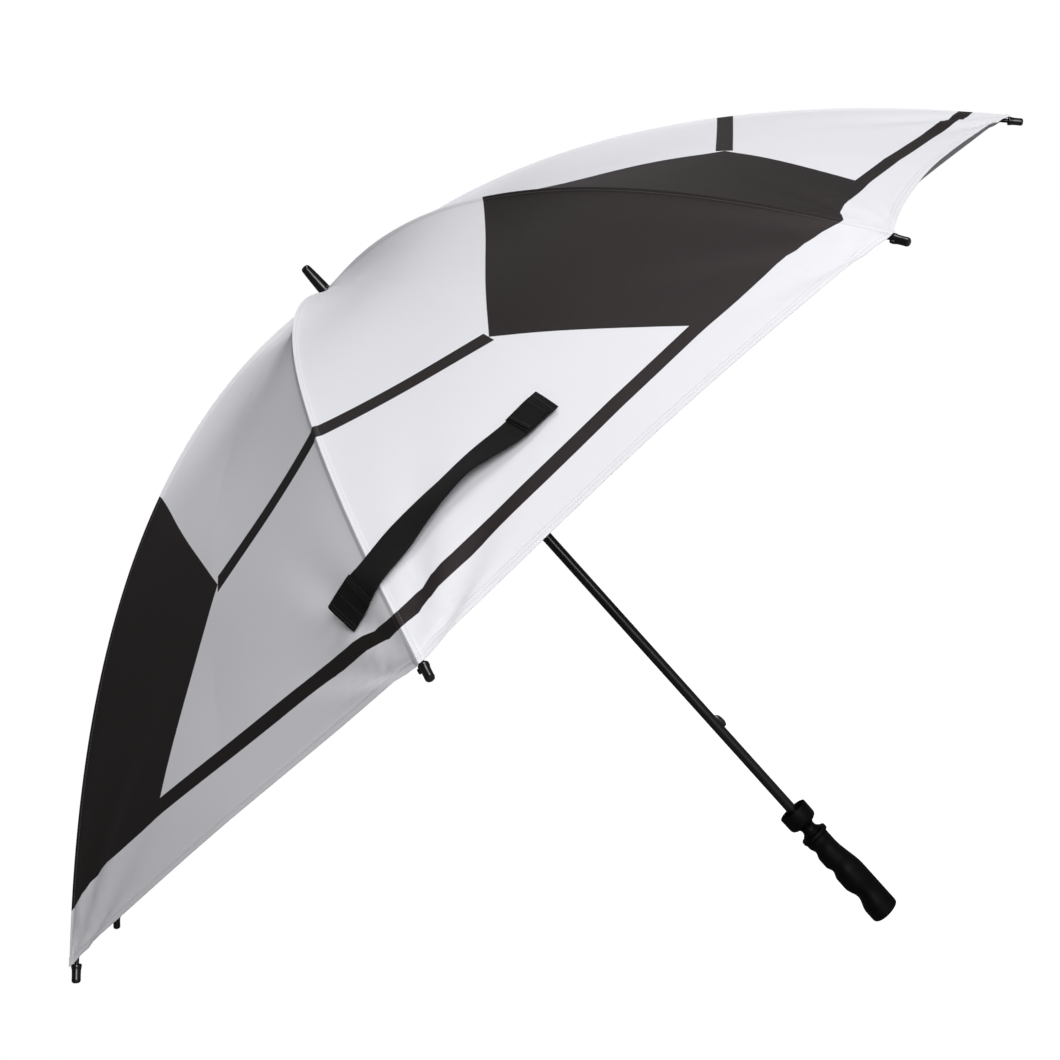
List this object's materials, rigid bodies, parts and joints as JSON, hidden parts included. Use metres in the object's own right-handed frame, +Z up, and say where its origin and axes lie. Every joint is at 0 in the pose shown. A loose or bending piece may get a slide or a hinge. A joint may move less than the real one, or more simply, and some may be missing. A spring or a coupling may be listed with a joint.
{
  "type": "golf umbrella",
  "caption": "Open stick umbrella with a large domed cloth canopy on hinged ribs, a sliding runner, a straight shaft, a closing strap, a hollow cup and a finger-grooved grip.",
  "frame": {"origin": "centre of the flat end face of the grip", "axes": "+Z up the shaft towards the ferrule; +X along one rib"},
  "size_m": [1.3792, 1.3792, 0.9735],
  "materials": {
    "canopy_cloth": "white woven polyester with a printed black pattern",
    "shaft_black": "satin black",
    "rib_black": "black glass-fibre rod",
    "gloss_black": "gloss black moulding",
    "matte_black": "matte black moulding",
    "grip_rubber": "soft-touch black",
    "catch_steel": "spring steel",
    "strap_webbing": "black webbing",
    "hook_fabric": "black hook tape"
  },
  "bodies": {
    "root": {"shaft": "shaft_black", "ferrule": "gloss_black", "crown_washer": "gloss_black", "notch": "matte_black", "handle_cup": "matte_black", "grip": "grip_rubber"},
    "runner": {"runner": "matte_black"},
    "bottom_catch": {"bottom_catch": "gloss_black"},
    "top_catch": {"top_catch": "catch_steel"},
    "rib_inner_0": {"rib_inner_0": "rib_black", "gore_inner_0": "canopy_cloth"},
    "rib_outer_0": {"rib_outer_0": "rib_black", "tip_cap_0": "gloss_black", "gore_outer_0": "canopy_cloth"},
    "stretcher_0": {"stretcher_0": "rib_black"},
    "rib_inner_1": {"rib_inner_1": "rib_black", "gore_inner_1": "canopy_cloth"},
    "rib_outer_1": {"rib_outer_1": "rib_black", "tip_cap_1": "gloss_black", "gore_outer_1": "canopy_cloth"},
    "stretcher_1": {"stretcher_1": "rib_black"},
    "rib_inner_2": {"rib_inner_2": "rib_black", "gore_inner_2": "canopy_cloth"},
    "rib_outer_2": {"rib_outer_2": "rib_black", "tip_cap_2": "gloss_black", "gore_outer_2": "canopy_cloth"},
    "stretcher_2": {"stretcher_2": "rib_black"},
    "rib_inner_3": {"rib_inner_3": "rib_black", "gore_inner_3": "canopy_cloth"},
    "rib_outer_3": {"rib_outer_3": "rib_black", "tip_cap_3": "gloss_black", "gore_outer_3": "canopy_cloth"},
    "stretcher_3": {"stretcher_3": "rib_black"},
    "rib_inner_4": {"rib_inner_4": "rib_black", "gore_inner_4": "canopy_cloth"},
    "rib_outer_4": {"rib_outer_4": "rib_black", "tip_cap_4": "gloss_black", "gore_outer_4": "canopy_cloth"},
    "stretcher_4": {"stretcher_4": "rib_black"},
    "rib_inner_5": {"rib_inner_5": "rib_black", "gore_inner_5": "canopy_cloth"},
    "rib_outer_5": {"rib_outer_5": "rib_black", "tip_cap_5": "gloss_black", "gore_outer_5": "canopy_cloth"},
    "stretcher_5": {"stretcher_5": "rib_black"},
    "rib_inner_6": {"rib_inner_6": "rib_black", "gore_inner_6": "canopy_cloth"},
    "rib_outer_6": {"rib_outer_6": "rib_black", "tip_cap_6": "gloss_black", "gore_outer_6": "canopy_cloth", "closing_strap": "strap_webbing", "strap_hook_patch": "hook_fabric"},
    "stretcher_6": {"stretcher_6": "rib_black"},
    "rib_inner_7": {"rib_inner_7": "rib_black", "gore_inner_7": "canopy_cloth"},
    "rib_outer_7": {"rib_outer_7": "rib_black", "tip_cap_7": "gloss_black", "gore_outer_7": "canopy_cloth"},
    "stretcher_7": {"stretcher_7": "rib_black"}
  },
  "joints": [
    {"name": "runner_slide", "type": "slide", "parent": "root", "child": "runner", "axis": [0, 0, -1], "range_m": [0, 0.41188]},
    {"name": "bottom_catch_press", "type": "slide", "parent": "root", "child": "bottom_catch", "axis": [0.9239, 0.3827, 0], "range_m": [-0.0045, 0], "stiffness_N_per_m": 600, "springref_m": 0.0008},
    {"name": "top_catch_press", "type": "slide", "parent": "root", "child": "top_catch", "axis": [0.9239, 0.3827, 0], "range_m": [-0.0045, 0], "stiffness_N_per_m": 600, "springref_m": 0.0008},
    {"name": "rib_hinge_0", "type": "hinge", "parent": "root", "child": "rib_inner_0", "pos_m": [0.011, 0, 0.93], "axis": [0, 1, 0], "range_deg": [0, 76.17], "deforming": ["gore_inner_0"]},
    {"name": "rib_flex_0", "type": "hinge", "parent": "rib_inner_0", "child": "rib_outer_0", "pos_m": [0.29798, 0, 0.86545], "axis": [0, 1, 0], "range_deg": [-24.8, 0], "deforming": ["gore_outer_0"]},
    {"name": "stretcher_hinge_0", "type": "hinge", "parent": "rib_inner_0", "child": "stretcher_0", "pos_m": [0.29656, 0, 0.85911], "axis": [0, 1, 0], "range_deg": [-143.51, 0]},
    {"name": "rib_hinge_1", "type": "hinge", "parent": "root", "child": "rib_inner_1", "pos_m": [0.00778, 0.00778, 0.93], "axis": [-0.7071, 0.7071, 0], "range_deg": [0, 76.17], "deforming": ["gore_inner_1"]},
    {"name": "rib_flex_1", "type": "hinge", "parent": "rib_inner_1", "child": "rib_outer_1", "pos_m": [0.21071, 0.21071, 0.86545], "axis": [-0.7071, 0.7071, 0], "range_deg": [-24.8, 0], "deforming": ["gore_outer_1"]},
    {"name": "stretcher_hinge_1", "type": "hinge", "parent": "rib_inner_1", "child": "stretcher_1", "pos_m": [0.2097, 0.2097, 0.85911], "axis": [-0.7071, 0.7071, 0], "range_deg": [-143.51, 0]},
    {"name": "rib_hinge_2", "type": "hinge", "parent": "root", "child": "rib_inner_2", "pos_m": [0, 0.011, 0.93], "axis": [-1, 0, 0], "range_deg": [0, 76.17], "deforming": ["gore_inner_2"]},
    {"name": "rib_flex_2", "type": "hinge", "parent": "rib_inner_2", "child": "rib_outer_2", "pos_m": [0, 0.29798, 0.86545], "axis": [-1, 0, 0], "range_deg": [-24.8, 0], "deforming": ["gore_outer_2"]},
    {"name": "stretcher_hinge_2", "type": "hinge", "parent": "rib_inner_2", "child": "stretcher_2", "pos_m": [0, 0.29656, 0.85911], "axis": [-1, 0, 0], "range_deg": [-143.51, 0]},
    {"name": "rib_hinge_3", "type": "hinge", "parent": "root", "child": "rib_inner_3", "pos_m": [-0.00778, 0.00778, 0.93], "axis": [-0.7071, -0.7071, 0], "range_deg": [0, 76.17], "deforming": ["gore_inner_3"]},
    {"name": "rib_flex_3", "type": "hinge", "parent": "rib_inner_3", "child": "rib_outer_3", "pos_m": [-0.21071, 0.21071, 0.86545], "axis": [-0.7071, -0.7071, 0], "range_deg": [-24.8, 0], "deforming": ["gore_outer_3"]},
    {"name": "stretcher_hinge_3", "type": "hinge", "parent": "rib_inner_3", "child": "stretcher_3", "pos_m": [-0.2097, 0.2097, 0.85911], "axis": [-0.7071, -0.7071, 0], "range_deg": [-143.51, 0]},
    {"name": "rib_hinge_4", "type": "hinge", "parent": "root", "child": "rib_inner_4", "pos_m": [-0.011, 0, 0.93], "axis": [0, -1, 0], "range_deg": [0, 76.17], "deforming": ["gore_inner_4"]},
    {"name": "rib_flex_4", "type": "hinge", "parent": "rib_inner_4", "child": "rib_outer_4", "pos_m": [-0.29798, 0, 0.86545], "axis": [0, -1, 0], "range_deg": [-24.8, 0], "deforming": ["gore_outer_4"]},
    {"name": "stretcher_hinge_4", "type": "hinge", "parent": "rib_inner_4", "child": "stretcher_4", "pos_m": [-0.29656, 0, 0.85911], "axis": [0, -1, 0], "range_deg": [-143.51, 0]},
    {"name": "rib_hinge_5", "type": "hinge", "parent": "root", "child": "rib_inner_5", "pos_m": [-0.00778, -0.00778, 0.93], "axis": [0.7071, -0.7071, 0], "range_deg": [0, 76.17], "deforming": ["gore_inner_5"]},
    {"name": "rib_flex_5", "type": "hinge", "parent": "rib_inner_5", "child": "rib_outer_5", "pos_m": [-0.21071, -0.21071, 0.86545], "axis": [0.7071, -0.7071, 0], "range_deg": [-24.8, 0], "deforming": ["gore_outer_5"]},
    {"name": "stretcher_hinge_5", "type": "hinge", "parent": "rib_inner_5", "child": "stretcher_5", "pos_m": [-0.2097, -0.2097, 0.85911], "axis": [0.7071, -0.7071, 0], "range_deg": [-143.51, 0]},
    {"name": "rib_hinge_6", "type": "hinge", "parent": "root", "child": "rib_inner_6", "pos_m": [0, -0.011, 0.93], "axis": [1, 0, 0], "range_deg": [0, 76.17], "deforming": ["gore_inner_6"]},
    {"name": "rib_flex_6", "type": "hinge", "parent": "rib_inner_6", "child": "rib_outer_6", "pos_m": [0, -0.29798, 0.86545], "axis": [1, 0, 0], "range_deg": [-24.8, 0], "deforming": ["gore_outer_6", "closing_strap", "strap_hook_patch"]},
    {"name": "stretcher_hinge_6", "type": "hinge", "parent": "rib_inner_6", "child": "stretcher_6", "pos_m": [0, -0.29656, 0.85911], "axis": [1, 0, 0], "range_deg": [-143.51, 0]},
    {"name": "rib_hinge_7", "type": "hinge", "parent": "root", "child": "rib_inner_7", "pos_m": [0.00778, -0.00778, 0.93], "axis": [0.7071, 0.7071, 0], "range_deg": [0, 76.17], "deforming": ["gore_inner_7"]},
    {"name": "rib_flex_7", "type": "hinge", "parent": "rib_inner_7", "child": "rib_outer_7", "pos_m": [0.21071, -0.21071, 0.86545], "axis": [0.7071, 0.7071, 0], "range_deg": [-24.8, 0], "deforming": ["gore_outer_7"]},
    {"name": "stretcher_hinge_7", "type": "hinge", "parent": "rib_inner_7", "child": "stretcher_7", "pos_m": [0.2097, -0.2097, 0.85911], "axis": [0.7071, 0.7071, 0], "range_deg": [-143.51, 0]}
  ],
  "couplings": [
    {"joint": "rib_hinge_0", "follows": "runner_slide", "rad_per_m": 3.2271},
    {"joint": "rib_flex_0", "follows": "runner_slide", "rad_per_m": -1.0502},
    {"joint": "stretcher_hinge_0", "follows": "runner_slide", "rad_per_m": -6.0804},
    {"joint": "rib_hinge_1", "follows": "runner_slide", "rad_per_m": 3.2271},
    {"joint": "rib_flex_1", "follows": "runner_slide", "rad_per_m": -1.0502},
    {"joint": "stretcher_hinge_1", "follows": "runner_slide", "rad_per_m": -6.0804},
    {"joint": "rib_hinge_2", "follows": "runner_slide", "rad_per_m": 3.2271},
    {"joint": "rib_flex_2", "follows": "runner_slide", "rad_per_m": -1.0502},
    {"joint": "stretcher_hinge_2", "follows": "runner_slide", "rad_per_m": -6.0804},
    {"joint": "rib_hinge_3", "follows": "runner_slide", "rad_per_m": 3.2271},
    {"joint": "rib_flex_3", "follows": "runner_slide", "rad_per_m": -1.0502},
    {"joint": "stretcher_hinge_3", "follows": "runner_slide", "rad_per_m": -6.0804},
    {"joint": "rib_hinge_4", "follows": "runner_slide", "rad_per_m": 3.2271},
    {"joint": "rib_flex_4", "follows": "runner_slide", "rad_per_m": -1.0502},
    {"joint": "stretcher_hinge_4", "follows": "runner_slide", "rad_per_m": -6.0804},
    {"joint": "rib_hinge_5", "follows": "runner_slide", "rad_per_m": 3.2271},
    {"joint": "rib_flex_5", "follows": "runner_slide", "rad_per_m": -1.0502},
    {"joint": "stretcher_hinge_5", "follows": "runner_slide", "rad_per_m": -6.0804},
    {"joint": "rib_hinge_6", "follows": "runner_slide", "rad_per_m": 3.2271},
    {"joint": "rib_flex_6", "follows": "runner_slide", "rad_per_m": -1.0502},
    {"joint": "stretcher_hinge_6", "follows": "runner_slide", "rad_per_m": -6.0804},
    {"joint": "rib_hinge_7", "follows": "runner_slide", "rad_per_m": 3.2271},
    {"joint": "rib_flex_7", "follows": "runner_slide", "rad_per_m": -1.0502},
    {"joint": "stretcher_hinge_7", "follows": "runner_slide", "rad_per_m": -6.0804}
  ]
}
